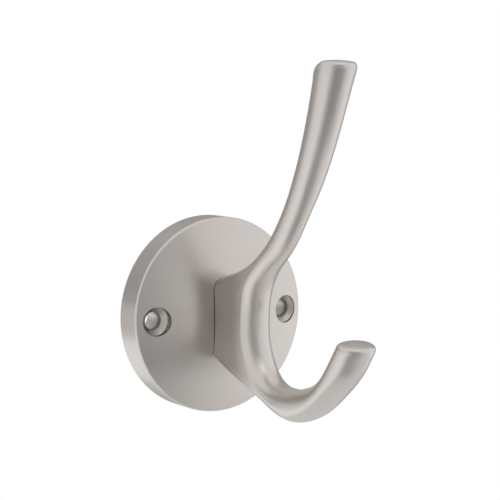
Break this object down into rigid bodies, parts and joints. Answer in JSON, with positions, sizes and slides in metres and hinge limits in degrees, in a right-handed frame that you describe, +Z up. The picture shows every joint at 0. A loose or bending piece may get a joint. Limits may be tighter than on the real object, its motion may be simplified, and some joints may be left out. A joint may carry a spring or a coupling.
{
  "type": "utility hook",
  "caption": "Satin metal wall hook: a domed round back plate with countersunk screw holes carries a cast hook with a long flared upper arm and a short upturned lower prong.",
  "frame": {"origin": "centre of the back plate's back face, on the wall plane, midway between the wall-screw holes", "axes": "+Z up the wall, -Y out of the wall along the hook's reach, +X to the right of someone who faces the wall"},
  "size_m": [0.05, 0.0665, 0.089],
  "materials": {
    "satin_nickel": "satin nickel plating",
    "screw_steel": "bright zinc plating"
  },
  "bodies": {
    "root": {"back_plate": "satin_nickel", "hook": "satin_nickel", "fixing_screw": "screw_steel"}
  },
  "joints": []
}
